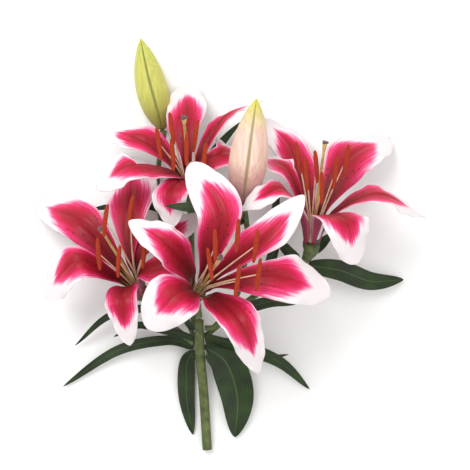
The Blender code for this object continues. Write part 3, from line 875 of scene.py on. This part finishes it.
    def anther_shape(self, place: Array) -> Callable[[Array], Array]:
        """Return the function that shapes a ball as a ripe anther of two pollen sacs.

        Args:
            place: The anther's middle, in millimetres.

        Returns:
            A function of the unit ball's points.
        """
        outward = place - self.base
        outward = unit(outward - outward.dot(self.axis) * self.axis)
        lengthwise = unit(np.array((0.0, 1.0, 0.0)) + 0.15 * outward)
        side = unit(np.cross(lengthwise, self.axis))
        third = np.cross(lengthwise, side)

        def shape(ball: Array) -> Array:
            """Draw the ball out along the anther and crease it."""
            angle = np.arctan2(ball[:, 1], ball[:, 0])
            ring = np.hypot(ball[:, 0], ball[:, 1]) ** 0.6
            crease = 1.0 - 0.20 * np.abs(np.sin(angle)) ** 6
            reach = (self.anther_radius * ring * crease)[:, None]
            run = (self.anther_length / 2.0 * ball[:, 2])[:, None]
            back = -self.anther_bend * ball[:, 2:3] ** 2 * self.axis
            sideways = np.cos(angle)[:, None] * side + np.sin(angle)[:, None] * third
            return place + reach * sideways + run * lengthwise + back

        return shape

    def build_stamens(self, filament: bpy.types.Material, pollen: bpy.types.Material) -> None:
        """Make the six stamens, each a filament and the anther balanced on it.

        Args:
            filament: The filaments' finish.
            pollen: The anthers' finish.
        """
        node = f"{self.plan.name}_stamens"
        for number, anther in enumerate(self.plan.anthers, start=1):
            place = np.array(anther, dtype=float)
            outward = place - self.base
            height = outward.dot(self.axis)
            reach = outward - height * self.axis
            away = unit(reach)
            span = np.linalg.norm(reach)
            route = [
                self.base + self.filament_ring_height * self.axis + self.filament_ring_radius * away,
                self.base + 0.25 * height * self.axis + 4.4 * away,
                self.base + 0.62 * height * self.axis + (3.0 + 0.42 * span) * away,
                place - 0.8 * self.axis,
            ]
            radii = self.filament_radius * np.linspace(1.25, 0.65, self.filament_points)
            curve = even_curve(route, self.filament_points)
            tube = add_tube(f"{node}_filament_{number}", curve, radii, 3)
            settle(tube, node, filament)
            ball = add_ball(f"{node}_anther_{number}", 20, 28, self.anther_shape(place))
            settle(ball, node, pollen)


@dataclass
class Stem:
    """The main stem and the stalks that leave it."""

    points: int = 60

    @staticmethod
    def route(stalk: StalkPlan, count: int) -> Array:
        """Work out a stalk's route; a flower's stalk ends on the flower's axis.

        Args:
            stalk: The stalk's plan.
            count: How many points to return.

        Returns:
            Points along it, in millimetres.
        """
        route = [np.array(point, dtype=float) for point in stalk.route]
        if stalk.share is not None and stalk.share < 1.0:
            route = [*Stem.seat(MAIN_STEM, stalk.share, route[0], 2.0), *route]
        for plan in FLOWERS:
            if plan.base == stalk.route[-1]:
                axis = unit(np.array(plan.stigma) - np.array(plan.base))
                base = route.pop()
                route += [base - 9.0 * axis, base - 3.0 * axis]
                return np.vstack([even_curve(route, count - 1), base])
        return even_curve(route, count)

    @staticmethod
    def radii(stalk: StalkPlan, count: int) -> Array:
        """Return the radius at each of a stalk's points."""
        share = np.linspace(0.0, 1.0, count)
        return stalk.radius + (stalk.end_radius - stalk.radius) * smooth((share - 0.8) / 0.2)

    @staticmethod
    def seat(stalk: StalkPlan, share: float, towards: Array, neck: float) -> tuple[Array, Array]:
        """Return where something starts beside a stalk, and the end of its straight neck.

        Args:
            stalk: The stalk it grows from.
            share: How far along the stalk.
            towards: The place it heads for.
            neck: The neck's length in millimetres.

        Returns:
            The start and the neck's end.
        """
        route = Stem.route(stalk, STALK_POINTS)
        place = share * (STALK_POINTS - 1)
        index = min(int(place), STALK_POINTS - 2)
        centre = route[index] + (place - index) * (route[index + 1] - route[index])
        radius = np.interp(place, np.arange(STALK_POINTS), Stem.radii(stalk, STALK_POINTS))
        grain = unit(route[index + 1] - route[index])
        outward = np.array(towards) - centre
        outward = unit(outward - outward.dot(grain) * grain)
        start = centre + (radius + STALK_GAP) * outward
        return start, start + neck * outward

    def build(self, material: bpy.types.Material) -> None:
        """Make the main stem and the stalks.

        Args:
            material: Their finish.
        """
        for stalk in STALKS:
            tube = add_tube(f"{stalk.name}_skin", self.route(stalk, self.points),
                            self.radii(stalk, self.points), 8)
            settle(tube, stalk.name, material)


@dataclass
class Bud:
    """A closed bud of three outer petals, with a seam between each two."""

    plan: BudPlan
    seam_depth: float = 0.9
    ridge_share: float = 0.03

    def build(self, material: bpy.types.Material) -> None:
        """Make the bud.

        Args:
            material: Its finish.
        """
        plan = self.plan
        spine = even_curve([plan.base, plan.belly, plan.tip], SPINE_SAMPLES)
        direction = tangents(spine)
        middle = direction[SPINE_SAMPLES // 2]
        side = unit(np.cross(middle, (0.0, 0.0, 1.0)))
        up = np.cross(middle, side)
        facts: dict[str, Array] = {}

        def shape(ball: Array) -> Array:
            """Draw the ball out to a spindle."""
            along = 1.0 - np.arccos(np.clip(ball[:, 2], -1.0, 1.0)) / pi
            ring = np.hypot(ball[:, 0], ball[:, 1])
            angle = np.arctan2(ball[:, 1], ball[:, 0])
            swell = plan.radius * along ** 0.62 * (1.0 - along) ** 0.84 * 2.62
            ridge = np.cos(3.0 * (angle + pi / 2.0))
            seam = np.exp(-((1.0 - ridge) / 0.05))
            radius = swell * (1.0 + self.ridge_share * ridge)
            radius -= self.seam_depth * seam * np.minimum(1.0, swell / 6.0)
            radius = np.where(ring > 1e-6, radius, 0.0)
            facts["bud_height"] = along
            facts["bud_seam"] = np.clip(0.5 + 0.5 * ridge, 0.0, 1.0) ** 6
            centre = read_along(spine, along)
            sideways = np.cos(angle)[:, None] * side + np.sin(angle)[:, None] * up
            return centre + SEAT_GAP * direction[0] + radius[:, None] * sideways

        ball = add_ball(f"{plan.name}_skin", 96, 72, shape)
        for name, values in facts.items():
            attribute = ball.data.attributes.new(name, "FLOAT", "POINT")
            attribute.data.foreach_set("value", values.astype(np.float32))
        settle(ball, plan.name, material)


@dataclass
class Leaf:
    """A lance-shaped leaf with a folded midrib and a gently waved edge."""

    plan: LeafPlan
    rows: int = 80
    columns: int = 25
    thickness: float = 0.6
    fullness: float = 1.62
    foot_half_width: float = 1.3
    fold: float = 0.24
    wave_height: float = 0.06

    def surface(self, seed: float) -> Surface:
        """Return the function that places points of the leaf.

        Args:
            seed: A number that makes its wave its own.

        Returns:
            A function of shares along and across the leaf.
        """
        plan = self.plan
        stalk = next(item for item in STALKS if item.name == plan.stalk)
        start = Stem.seat(stalk, plan.share, plan.route[0], 3.0)
        spine = even_curve([*start, *plan.route], SPINE_SAMPLES)
        direction = tangents(spine)
        upward = np.array((0.0, 0.0, 1.0)) - direction[:, 2][:, None] * direction
        upward /= np.linalg.norm(upward, axis=1)[:, None]
        flank = np.cross(direction, upward)
        turn = radians(plan.turn)
        side = cos(turn) * flank + sin(turn) * upward
        normal = cos(turn) * upward - sin(turn) * flank

        def place(along: Array, across: Array) -> Array:
            """Place points of the leaf, for shares along and across it."""
            half_width = plan.width / 2.0 * self.fullness * along ** 0.55 * (1.0 - along) ** 0.7
            half_width += self.foot_half_width * (1.0 - along) ** 3
            fold = self.fold * (np.sqrt(across ** 2 + 0.01) - 0.1)
            wave = self.wave_height * np.sin(2.0 * pi * (2.3 * along + 0.4 * seed)) * across
            sideways = (half_width * across)[..., None] * read_along(side, along)
            lift = (half_width * (fold + wave))[..., None] * read_along(normal, along)
            return read_along(spine, along) + sideways + lift

        return place

    def build(self, material: bpy.types.Material, seed: float) -> None:
        """Make the leaf.

        Args:
            material: Its finish.
            seed: A number that makes its wave its own.
        """
        blade = add_blade(f"{self.plan.name}_blade", self.rows, self.columns, self.surface(seed),
                          self.thickness, seed)
        settle(blade, self.plan.name, material)


@dataclass(frozen=True)
class Studio:
    """A pale floor, soft lights and a camera that looks straight down on the spray."""

    camera_height: float = 1.56
    lens: float = 143.6
    floor_size: float = 6.0
    sky: float = 0.78
    lamps: tuple = (("key", (-0.55, 0.75, 1.45), 0.9, 17.0), ("fill", (0.9, -0.35, 1.3), 1.4, 5.0))

    def build(self) -> None:
        """Add the floor, the lights, the world and the camera."""
        deselect_all()
        bpy.ops.mesh.primitive_plane_add(size=self.floor_size, location=(0.0, 0.0, -0.0005))
        floor = bpy.context.object
        floor.name = "studio_floor"
        material, _, shader = start_material("Matt white paper", 0.95, 1.4)
        shader.inputs["Base Color"].default_value = linear_colour("FDFDFC")
        floor.data.materials.append(material)
        for lamp in self.lamps:
            self.add_light(*lamp)
        world = bpy.data.worlds.new("Soft studio")
        bpy.context.scene.world = world
        world.use_nodes = True
        background = world.node_tree.nodes["Background"]
        background.inputs["Color"].default_value = linear_colour("FFFFFF")
        background.inputs["Strength"].default_value = self.sky
        data = bpy.data.cameras.new("camera")
        data.lens = self.lens
        data.sensor_width = 36.0
        camera = bpy.data.objects.new("camera", data)
        bpy.context.scene.collection.objects.link(camera)
        camera.location = (REST_SHIFT[0] * MM, REST_SHIFT[1] * MM, self.camera_height)
        bpy.context.scene.camera = camera
        bpy.context.scene.view_settings.view_transform = "Standard"

    @staticmethod
    def add_light(name: str, place: tuple[float, float, float], size: float, power: float) -> None:
        """Add a soft square light that faces the spray.

        Args:
            name: The light's name.
            place: Its place in metres.
            size: Its side in metres.
            power: Its power in watts.
        """
        data = bpy.data.lights.new(name, "AREA")
        data.size = size
        data.energy = power
        light = bpy.data.objects.new(name, data)
        bpy.context.scene.collection.objects.link(light)
        light.location = place
        aim = -unit(np.array(place))
        light.rotation_euler = (np.arccos(-aim[2]), 0.0, np.arctan2(-aim[0], aim[1]))


def main() -> None:
    """Build the spray's looks in order."""
    logging.basicConfig(level=logging.INFO, format="%(message)s")
    petal = PetalSkin().build()
    leaf = LeafSkin().build()
    stem = SpeckledSkin("Green stem tissue", "3E4A28", "66733F", 6.0, 0.5, 0.25).build()
    style = SpeckledSkin("Pale green style", "B98A4A", "D6C07A", 5.0, 0.45, 0.1).build()
    stigma = SpeckledSkin("Sticky dark stigma", "3E2E30", "7A5A56", 1.5, 0.35, 0.3).build()
    filament = SpeckledSkin("Peach filament", "D9A98A", "F2D9B8", 8.0, 0.45, 0.1).build()
    pollen = SpeckledSkin("Rust pollen", "7C2410", "B43A1A", 0.9, 0.95, 0.5).build()
    bud_finishes = {
        "large_bud": BudSkin("Cream-pink bud", "A05C64", "F0D0BC", "CFD24A", "7C7A34").build(),
        "small_bud": BudSkin("Green-yellow bud", "80722E", "C8C864", "C4CC60", "5E6622").build(),
    }
    for plan in FLOWERS:
        flower = Flower(plan)
        flower.build_petals(petal)
        flower.build_pistil(style, stigma)
        flower.build_stamens(filament, pollen)
    Stem().build(stem)
    for plan in BUDS:
        Bud(plan).build(bud_finishes[plan.name])
    for number, plan in enumerate(LEAVES):
        Leaf(plan).build(leaf, float(number))
    Studio().build()


if __name__ == "__main__":
    main()
